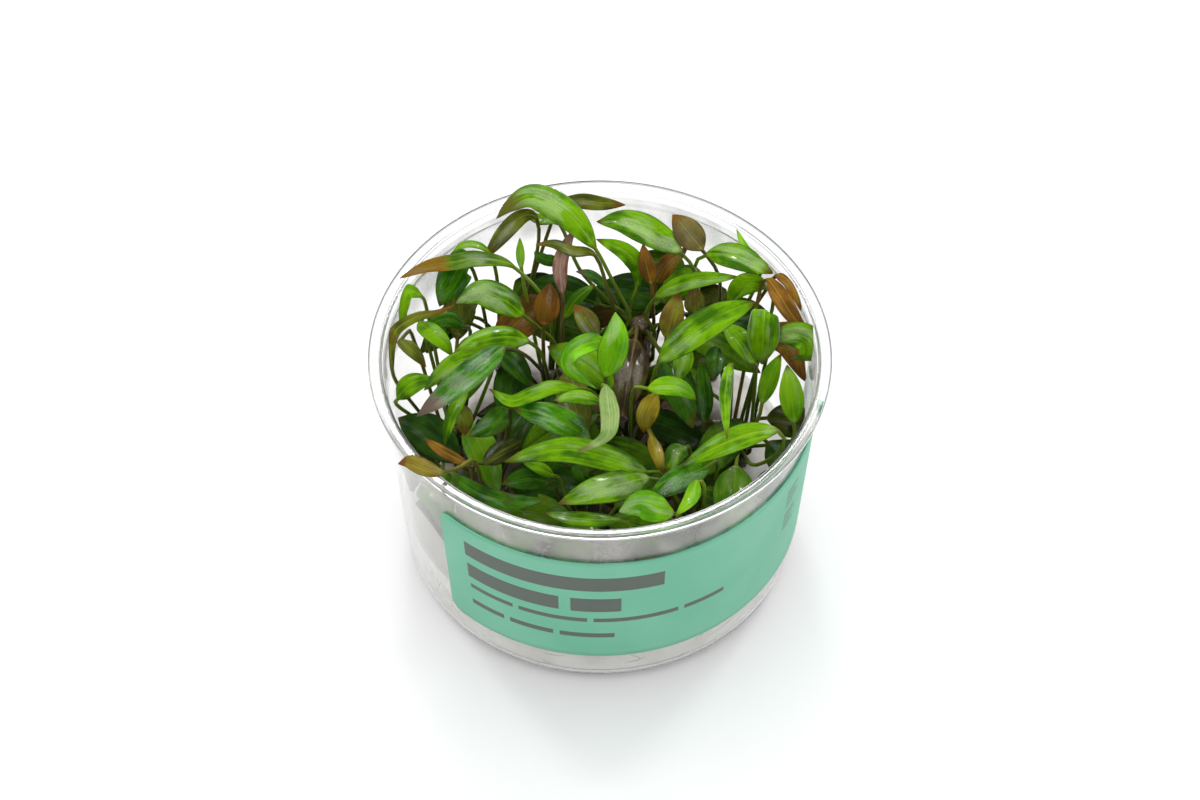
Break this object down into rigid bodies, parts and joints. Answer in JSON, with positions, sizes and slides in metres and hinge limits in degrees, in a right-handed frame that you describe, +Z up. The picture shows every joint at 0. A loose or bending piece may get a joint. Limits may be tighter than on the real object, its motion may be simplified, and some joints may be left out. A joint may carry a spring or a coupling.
{
  "type": "tissue culture cup of cryptocoryne",
  "caption": "Clear round tissue culture cup with rooting gel and a wrap label, densely planted with arching lance-shaped cryptocoryne leaves.",
  "frame": {"origin": "middle of the cup's foot, on the surface that it stands on", "axes": "+Z up along the cup's axis, -Y towards the front of the label, +X to the right"},
  "size_m": [0.1, 0.1, 0.0684],
  "materials": {
    "brown_leaf": "satin orange-brown",
    "clear_plastic": "clear and glossy, see-through",
    "crown": "rough brown stem base with young green leaves",
    "dark_leaf": "satin dark green",
    "fresh_leaf": "satin yellow-green",
    "green_leaf": "satin leaf green with a pale midrib",
    "label_paper": "satin printed wrap, mint green, blank bars for the lettering",
    "ochre_leaf": "satin ochre",
    "olive_leaf": "satin olive",
    "rooting_gel": "moist, milky, translucent",
    "rosy_leaf": "satin pinkish brown",
    "silver_leaf": "wet silver-green"
  },
  "bodies": {
    "root": {"crown_back_left": "crown", "crown_back_right": "crown", "crown_front": "crown", "crown_front_left": "crown", "crown_front_right": "crown", "crown_left": "crown", "crown_left_middle": "crown", "crown_middle": "crown", "crown_right": "crown", "cup": "clear_plastic", "gel": "rooting_gel", "label": "label_paper", "leaf_back_brown": "olive_leaf", "leaf_back_green": "green_leaf", "leaf_back_olive": "olive_leaf", "leaf_back_orange": "brown_leaf", "leaf_back_right_green": "green_leaf", "leaf_back_rosy": "rosy_leaf", "leaf_back_strap": "olive_leaf", "leaf_dark_vertical": "dark_leaf", "leaf_front_dark": "green_leaf", "leaf_front_left_dark": "dark_leaf", "leaf_front_long": "green_leaf", "leaf_front_low": "dark_leaf", "leaf_front_right_long": "green_leaf", "leaf_front_small": "fresh_leaf", "leaf_front_triangle": "fresh_leaf", "leaf_front_wall_strap": "dark_leaf", "leaf_front_wet": "green_leaf", "leaf_left_broad": "green_leaf", "leaf_left_brown_arch": "olive_leaf", "leaf_left_dark_round": "dark_leaf", "leaf_left_long": "green_leaf", "leaf_left_silver": "silver_leaf", "leaf_left_small": "green_leaf", "leaf_left_tip_over_rim": "green_leaf", "leaf_left_triangle": "brown_leaf", "leaf_left_wall": "fresh_leaf", "leaf_left_wet": "green_leaf", "leaf_middle_brown": "brown_leaf", "leaf_middle_drooping": "green_leaf", "leaf_middle_folded": "fresh_leaf", "leaf_middle_fresh": "fresh_leaf", "leaf_middle_left": "green_leaf", "leaf_middle_ochre": "ochre_leaf", "leaf_middle_pale": "fresh_leaf", "leaf_middle_upright": "green_leaf", "leaf_right_broad": "green_leaf", "leaf_right_brown_tip": "brown_leaf", "leaf_right_curled": "green_leaf", "leaf_right_fresh": "fresh_leaf", "leaf_right_hanging": "green_leaf", "leaf_right_long": "green_leaf", "leaf_right_pale": "fresh_leaf", "leaf_right_round": "green_leaf", "leaf_right_vertical": "green_leaf", "leaf_rim_left_tip": "olive_leaf", "leaf_strap_left": "green_leaf", "leaf_top_arch": "green_leaf", "stem_tall": "crown"}
  },
  "joints": []
}
